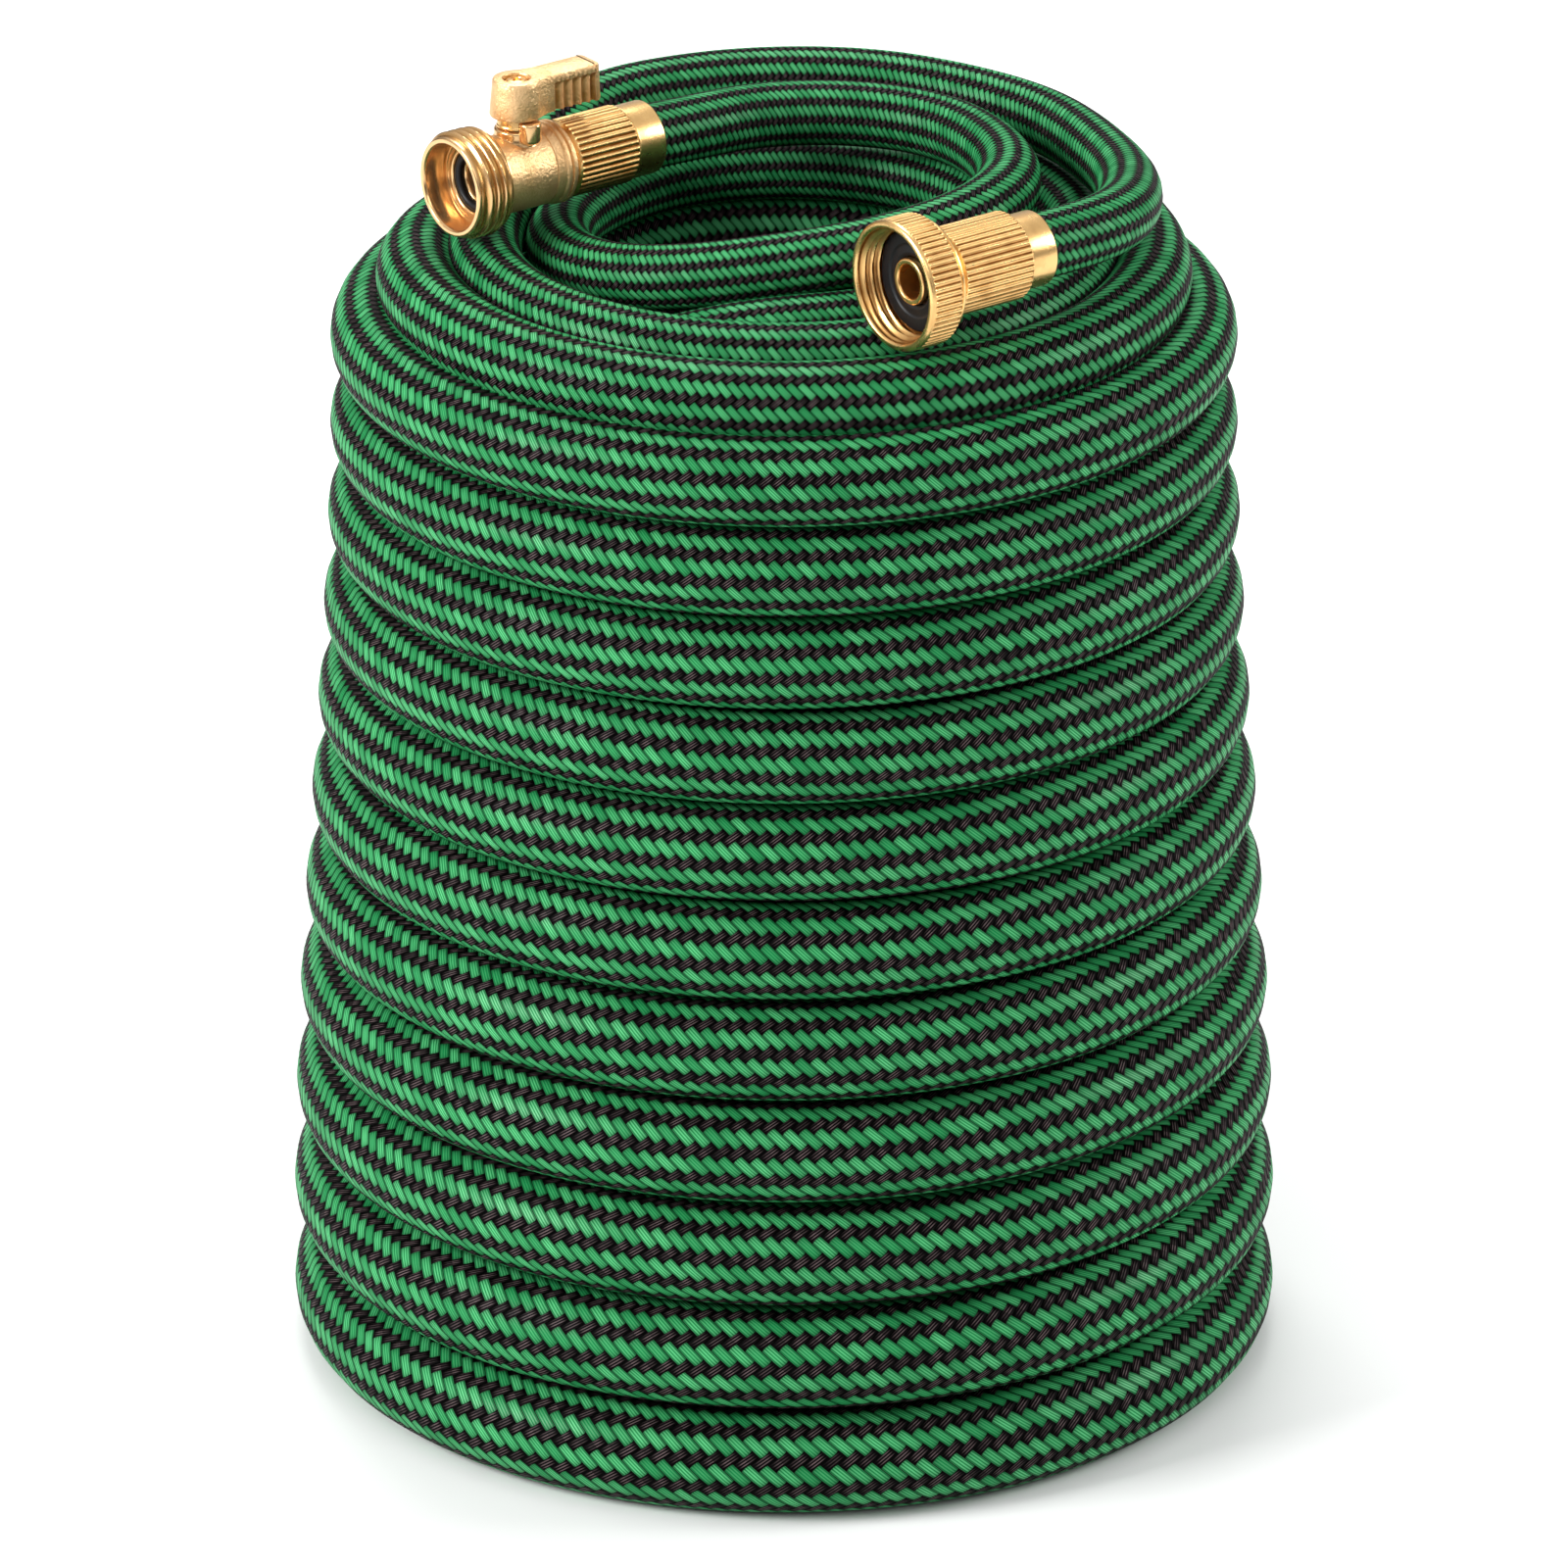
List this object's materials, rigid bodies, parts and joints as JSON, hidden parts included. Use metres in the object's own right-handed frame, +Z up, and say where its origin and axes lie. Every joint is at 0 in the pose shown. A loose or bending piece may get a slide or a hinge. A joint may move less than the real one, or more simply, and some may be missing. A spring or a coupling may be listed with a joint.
{
  "type": "garden hose",
  "caption": "Garden hose with a woven jacket, wound into a tall hollow coil that stands on end, with a brass lever valve on its male end and a knurled swivel coupling on its female end.",
  "frame": {"origin": "Centre of the bounding box at floor level, on the coil's axis under its lowest turn.", "axes": "+Z is up along the coil's axis. -X is the way that both fittings' mouths face. +Y is the side that the valve lies on."},
  "size_m": [0.2468, 0.2468, 0.3345],
  "materials": {
    "hose_jacket": "twill-braided synthetic yarn, green with dark diagonal bands",
    "forged_brass": "satin, forged",
    "polished_brass": "polished, knurled grips",
    "chrome": "polished",
    "rubber": "matte"
  },
  "bodies": {
    "hose": {"hose_coil": "hose_jacket", "hose_lead_valve": "hose_jacket", "hose_lead_coupling": "hose_jacket", "valve_body": "forged_brass", "valve_seal": "rubber", "valve_sleeve": "polished_brass", "coupling_stem": "polished_brass", "coupling_sleeve": "polished_brass"},
    "lever": {"valve_lever": "forged_brass", "lever_screw": "polished_brass", "valve_stem": "polished_brass", "valve_ball": "chrome"},
    "nut": {"swivel_nut": "polished_brass", "rubber_washer": "rubber"}
  },
  "joints": [
    {"name": "lever_turn", "type": "hinge", "parent": "hose", "child": "lever", "pos_m": [-0.0549, 0.0351, 0.3105], "axis": [0, 0, -1], "range_deg": [0, 90]},
    {"name": "nut_spin", "type": "hinge", "parent": "hose", "child": "nut", "pos_m": [-0.0244, -0.0826, 0.3107], "axis": [1, 0, 0], "continuous": true}
  ]
}
